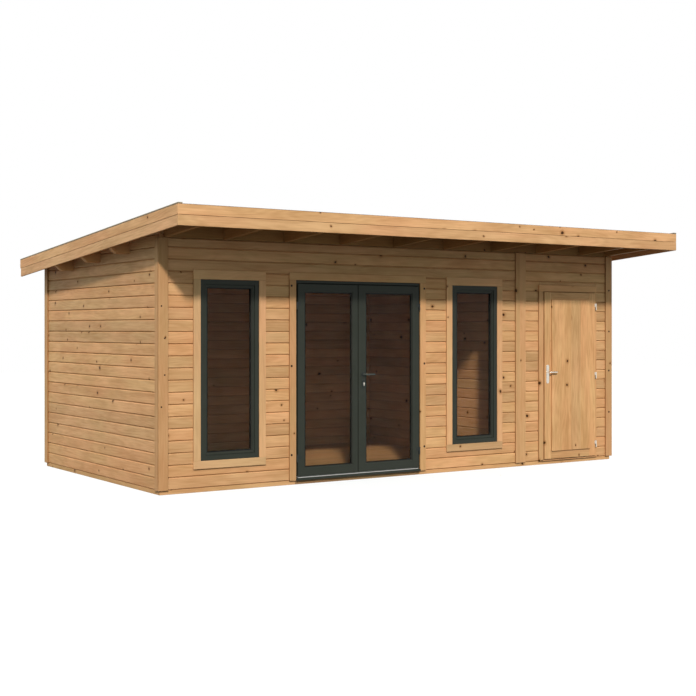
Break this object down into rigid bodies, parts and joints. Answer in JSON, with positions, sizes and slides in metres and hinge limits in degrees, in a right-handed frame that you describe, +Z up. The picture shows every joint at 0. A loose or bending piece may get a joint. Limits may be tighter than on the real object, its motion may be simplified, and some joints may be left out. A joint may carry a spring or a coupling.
{
  "type": "garden house",
  "caption": "Timber garden house with a pent roof on deep eaves, a glazed double door, tall windows and a boarded store room with its own door.",
  "frame": {"origin": "on the ground, under the middle of the roof's outline", "axes": "+X to the right along the front, +Y from the front to the back, +Z up"},
  "size_m": [6.216, 4.057, 2.6244],
  "materials": {
    "cladding": "oiled softwood boards",
    "trim": "oiled softwood",
    "door_timber": "oiled softwood",
    "roof_timber": "sawn softwood",
    "floor_timber": "planed softwood",
    "felt": "mineral roofing felt",
    "anthracite": "satin",
    "glass": "clear",
    "threshold_metal": "mill",
    "dark_metal": "satin",
    "steel": "satin"
  },
  "bodies": {
    "house": {"back_fascia": "trim", "back_wall": "cladding", "corner_boards": "trim", "cross_bearers": "floor_timber", "double_door_casing": "trim", "double_door_frame": "anthracite", "double_door_frame_hinges": "dark_metal", "double_door_lintel": "cladding", "double_door_sill": "dark_metal", "double_door_threshold": "threshold_metal", "eaves_fillers": "roof_timber", "front_fascia": "trim", "front_wall_left": "cladding", "front_wall_middle": "cladding", "gable_panels": "cladding", "joint_covers": "trim", "left_wall": "cladding", "left_window_casing": "trim", "left_window_frame": "anthracite", "left_window_glass": "glass", "long_bearers": "floor_timber", "lookouts": "roof_timber", "partition_wall": "cladding", "rafters": "roof_timber", "right_wall": "cladding", "right_window_casing": "trim", "right_window_frame": "anthracite", "right_window_glass": "glass", "roof_deck": "roof_timber", "roof_felt": "felt", "room_floor": "floor_timber", "shed_door_casing": "trim", "shed_door_frame": "trim", "shed_door_lintel": "cladding", "shed_door_sill": "trim", "shed_floor": "floor_timber", "shed_frame_hinges": "steel", "shed_wall_left": "cladding", "shed_wall_right": "cladding", "side_fascias": "trim", "verge_laths": "trim"},
    "left_door": {"left_door_leaf": "anthracite", "left_door_glass": "glass", "left_leaf_hinges": "dark_metal"},
    "right_door": {"right_door_leaf": "anthracite", "right_door_glass": "glass", "right_leaf_hinges": "dark_metal", "door_roses": "dark_metal", "door_cylinder": "steel"},
    "door_lever": {"door_lever": "dark_metal"},
    "shed_door": {"shed_door_leaf": "door_timber", "shed_door_panel": "door_timber", "shed_leaf_hinges": "steel", "shed_door_plate": "steel"},
    "shed_lever": {"shed_door_lever": "steel"}
  },
  "joints": [
    {"name": "left_door_hinge", "type": "hinge", "parent": "house", "child": "left_door", "pos_m": [-1.4235, -1.2195, 0], "axis": [0, 0, -1], "range_deg": [0, 100]},
    {"name": "right_door_hinge", "type": "hinge", "parent": "house", "child": "right_door", "pos_m": [0.0815, -1.2195, 0], "axis": [0, 0, 1], "range_deg": [0, 100]},
    {"name": "door_lever_turn", "type": "hinge", "parent": "right_door", "child": "door_lever", "pos_m": [-0.6325, -1.2165, 1.071], "axis": [0, 1, 0], "range_deg": [0, 40], "stiffness_Nm_per_rad": 0.8, "springref_deg": -20.05},
    {"name": "shed_door_hinge", "type": "hinge", "parent": "house", "child": "shed_door", "pos_m": [2.637, -1.2375, 0], "axis": [0, 0, 1], "range_deg": [0, 100]},
    {"name": "shed_lever_turn", "type": "hinge", "parent": "shed_door", "child": "shed_lever", "pos_m": [1.877, -1.2345, 1.045], "axis": [0, 1, 0], "range_deg": [0, 40], "stiffness_Nm_per_rad": 0.8, "springref_deg": -20.05}
  ]
}
